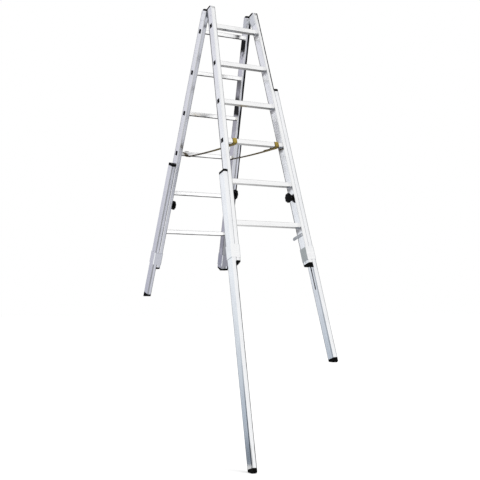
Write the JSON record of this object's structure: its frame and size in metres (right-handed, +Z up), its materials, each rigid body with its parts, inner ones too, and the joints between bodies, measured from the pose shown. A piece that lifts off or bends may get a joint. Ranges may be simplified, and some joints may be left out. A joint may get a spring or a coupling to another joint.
{
  "type": "stairwell ladder",
  "caption": "Aluminium folding double ladder with square rungs and separately clamped extension legs under every stile, for standing on stairs.",
  "frame": {"origin": "bottom centre of the whole ladder's box, standing open with its legs drawn out as stored", "axes": "+Z up, X along the rungs, the long-legged front section towards -Y"},
  "size_m": [0.6316, 1.4864, 2.6068],
  "materials": {
    "stile_aluminium": "bright extruded",
    "rung_aluminium": "bright extruded",
    "leg_aluminium": "bright extruded",
    "collar_aluminium": "satin formed sheet",
    "rivet_metal": "satin",
    "plated_steel": "zinc plated",
    "black_plastic": "moulded",
    "knob_plastic": "moulded",
    "black_rubber": "moulded",
    "strap_webbing": "woven webbing"
  },
  "bodies": {
    "front_section": {"front_left_stile": "stile_aluminium", "front_left_stile_foot": "black_rubber", "front_left_collar": "collar_aluminium", "front_left_hinge_plate": "plated_steel", "front_right_stile": "stile_aluminium", "front_right_stile_foot": "black_rubber", "front_right_collar": "collar_aluminium", "front_right_hinge_plate": "plated_steel", "front_rung_1": "rung_aluminium", "front_rung_2": "rung_aluminium", "front_rung_3": "rung_aluminium", "front_rung_4": "rung_aluminium", "front_rung_5": "rung_aluminium", "front_rung_6": "rung_aluminium", "front_rivets": "rivet_metal", "front_rung_plugs": "black_plastic", "front_head_plugs": "black_plastic", "front_clamp_nuts": "plated_steel", "folding_guide": "plated_steel", "hinge_pins": "plated_steel", "left_strap": "strap_webbing", "right_strap": "strap_webbing"},
    "rear_section": {"rear_left_stile": "stile_aluminium", "rear_left_stile_foot": "black_rubber", "rear_left_collar": "collar_aluminium", "rear_left_hinge_plate": "plated_steel", "rear_right_stile": "stile_aluminium", "rear_right_stile_foot": "black_rubber", "rear_right_collar": "collar_aluminium", "rear_right_hinge_plate": "plated_steel", "rear_rung_1": "rung_aluminium", "rear_rung_2": "rung_aluminium", "rear_rung_3": "rung_aluminium", "rear_rung_4": "rung_aluminium", "rear_rung_5": "rung_aluminium", "rear_rung_6": "rung_aluminium", "rear_rivets": "rivet_metal", "rear_rung_plugs": "black_plastic", "rear_head_plugs": "black_plastic", "rear_clamp_nuts": "plated_steel"},
    "front_left_extension": {"front_left_leg": "leg_aluminium", "front_left_leg_cap": "black_plastic", "front_left_leg_foot": "black_rubber"},
    "front_left_clamp": {"front_left_clamp_knob": "knob_plastic", "front_left_clamp_bolt": "plated_steel"},
    "front_right_extension": {"front_right_leg": "leg_aluminium", "front_right_leg_cap": "black_plastic", "front_right_leg_foot": "black_rubber"},
    "front_right_clamp": {"front_right_clamp_knob": "knob_plastic", "front_right_clamp_bolt": "plated_steel"},
    "rear_left_extension": {"rear_left_leg": "leg_aluminium", "rear_left_leg_cap": "black_plastic", "rear_left_leg_foot": "black_rubber"},
    "rear_left_clamp": {"rear_left_clamp_knob": "knob_plastic", "rear_left_clamp_bolt": "plated_steel"},
    "rear_right_extension": {"rear_right_leg": "leg_aluminium", "rear_right_leg_cap": "black_plastic", "rear_right_leg_foot": "black_rubber"},
    "rear_right_clamp": {"rear_right_clamp_knob": "knob_plastic", "rear_right_clamp_bolt": "plated_steel"}
  },
  "joints": [
    {"name": "fold", "type": "hinge", "parent": "front_section", "child": "rear_section", "pos_m": [0.01479, 0.13656, 2.55431], "axis": [1, 0, 0], "range_deg": [-35, 0], "deforming": ["left_strap", "right_strap"]},
    {"name": "front_left_slide", "type": "slide", "parent": "front_section", "child": "front_left_extension", "axis": [-0.0537, -0.3011, -0.9521], "range_m": [-1.10054, 0.0375]},
    {"name": "front_right_slide", "type": "slide", "parent": "front_section", "child": "front_right_extension", "axis": [0.0537, -0.3011, -0.9521], "range_m": [-0.54984, 0.5882]},
    {"name": "rear_left_slide", "type": "slide", "parent": "rear_section", "child": "rear_left_extension", "axis": [-0.0537, 0.3011, -0.9521], "range_m": [-0.18024, 0.1608]},
    {"name": "rear_right_slide", "type": "slide", "parent": "rear_section", "child": "rear_right_extension", "axis": [0.0537, 0.3011, -0.9521], "range_m": [0, 0.21286]},
    {"name": "front_left_clamp_turn", "type": "hinge", "parent": "front_section", "child": "front_left_clamp", "pos_m": [-0.18322, -0.2596, 1.44759], "axis": [0.9986, -0.0162, -0.0512], "range_deg": [0, 360]},
    {"name": "front_right_clamp_turn", "type": "hinge", "parent": "front_section", "child": "front_right_clamp", "pos_m": [0.21281, -0.2596, 1.44759], "axis": [-0.9986, -0.0162, -0.0512], "range_deg": [0, 360]},
    {"name": "rear_left_clamp_turn", "type": "hinge", "parent": "rear_section", "child": "rear_left_clamp", "pos_m": [-0.18322, 0.53272, 1.44759], "axis": [0.9986, 0.0162, -0.0512], "range_deg": [0, 360]},
    {"name": "rear_right_clamp_turn", "type": "hinge", "parent": "rear_section", "child": "rear_right_clamp", "pos_m": [0.20592, 0.49412, 1.56963], "axis": [-0.9986, 0.0162, -0.0512], "range_deg": [0, 360]}
  ]
}
